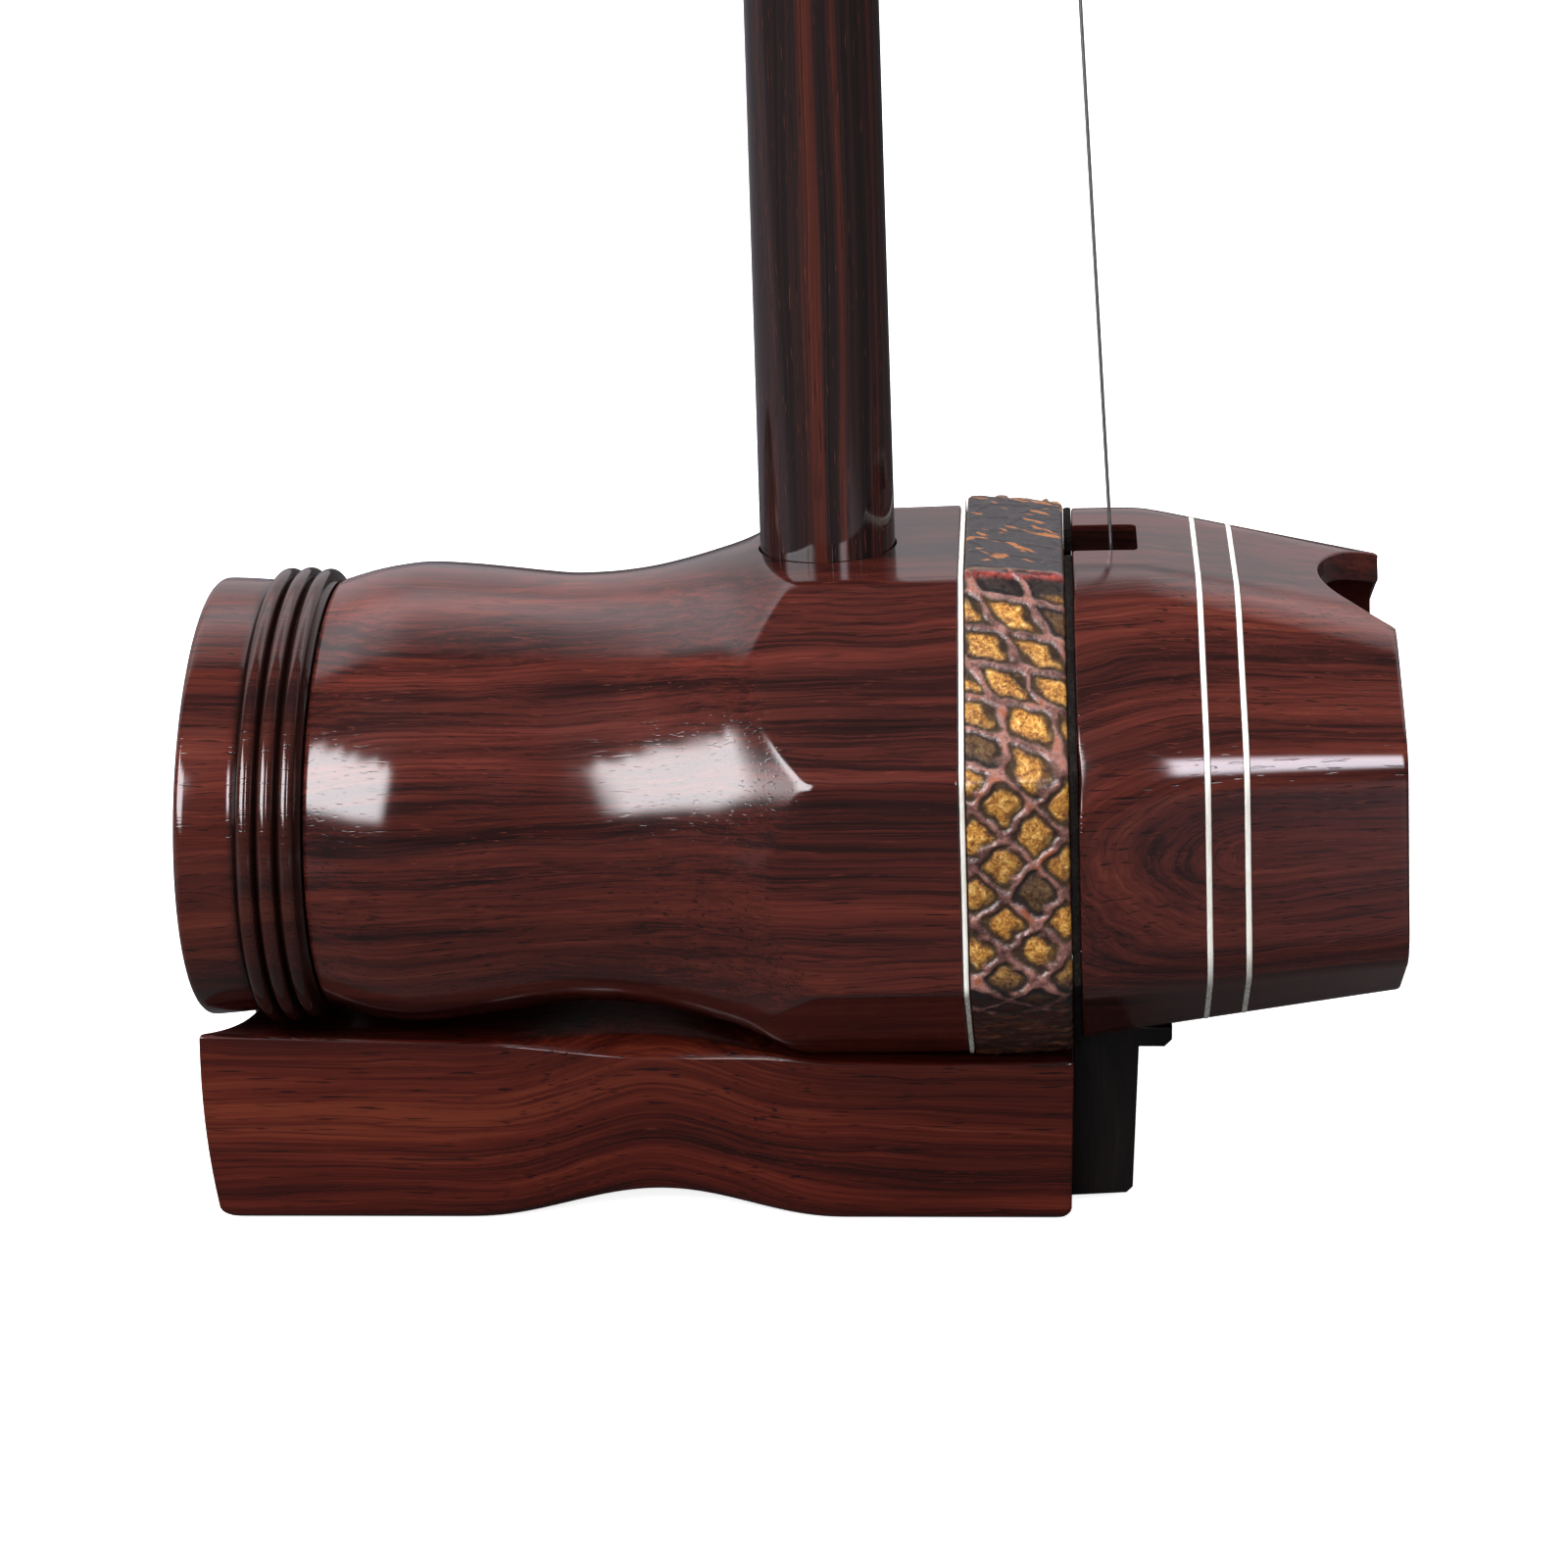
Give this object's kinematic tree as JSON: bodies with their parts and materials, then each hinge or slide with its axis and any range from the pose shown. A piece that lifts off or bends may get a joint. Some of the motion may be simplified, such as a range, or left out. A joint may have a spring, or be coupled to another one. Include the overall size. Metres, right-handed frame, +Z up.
{
  "type": "erhu",
  "caption": "Two-string spike fiddle: polished rosewood sound box, round behind and octagonal in front, with snakeskin band, front hood, footed base, oval neck and turned pegs.",
  "frame": {"origin": "on the flat underside of the base's front foot, 24 mm in front of the neck's line", "axes": "+X towards the skin and the hood, +Z up the neck; the neck and sound box lean 1.9 degrees to the rear over the level base"},
  "size_m": [0.2006, 0.0838, 0.8163],
  "materials": {
    "rosewood": "polished dark red-brown rosewood with near-black streaks, high gloss",
    "base_wood": "polished rosewood, a little redder, satin gloss",
    "neck_wood": "near-black rosewood with upright red streaks, gloss",
    "black_wood": "black satin hardwood",
    "lattice_wood": "satin rosewood lattice",
    "bridge_wood": "pale maple, satin",
    "bone": "polished white bone",
    "snakeskin": "python skin: ochre scales with dark raised borders",
    "felt": "black felt",
    "cord": "twisted cotton cord",
    "steel": "machined steel",
    "string_steel": "polished steel wire",
    "brass": "turned brass"
  },
  "bodies": {
    "instrument": {"sound_body": "rosewood", "rear_rim_ring": "rosewood", "front_inlay_ring": "bone", "python_skin": "snakeskin", "sound_window": "lattice_wood", "neck": "neck_wood", "head_cap": "bone", "hood_felt": "felt", "base": "base_wood", "base_bolt": "steel", "tail_bracket": "black_wood", "bracket_screw_lower": "steel", "bracket_screw_upper": "steel", "string_pin_inner": "brass", "string_pin_outer": "brass", "bridge": "bridge_wood", "damper_felt": "felt", "inner_string": "string_steel", "outer_string": "string_steel"},
    "upper_peg_set": {"upper_peg": "rosewood", "upper_peg_button": "bone", "upper_peg_ring": "bone", "upper_winding": "string_steel"},
    "lower_peg_set": {"lower_peg": "rosewood", "lower_peg_button": "bone", "lower_peg_ring": "bone", "lower_winding": "string_steel"},
    "hood_set": {"hood": "rosewood", "hood_inlay_rear": "bone", "hood_inlay_front": "bone"},
    "cord": {"qianjin_cord": "cord"}
  },
  "joints": [
    {"name": "upper_peg_turn", "type": "hinge", "parent": "instrument", "child": "upper_peg_set", "pos_m": [-0.04489, 0, 0.69585], "axis": [0.9995, 0, 0.0332], "continuous": true},
    {"name": "lower_peg_turn", "type": "hinge", "parent": "instrument", "child": "lower_peg_set", "pos_m": [-0.04277, 0, 0.63189], "axis": [0.9995, 0, 0.0332], "continuous": true},
    {"name": "hood_slide", "type": "slide", "parent": "instrument", "child": "hood_set", "axis": [0.9995, 0, 0.0332], "range_m": [0, 0.08]},
    {"name": "qianjin_slide", "type": "slide", "parent": "instrument", "child": "cord", "axis": [-0.0332, 0, 0.9995], "range_m": [-0.012, 0.012]}
  ]
}
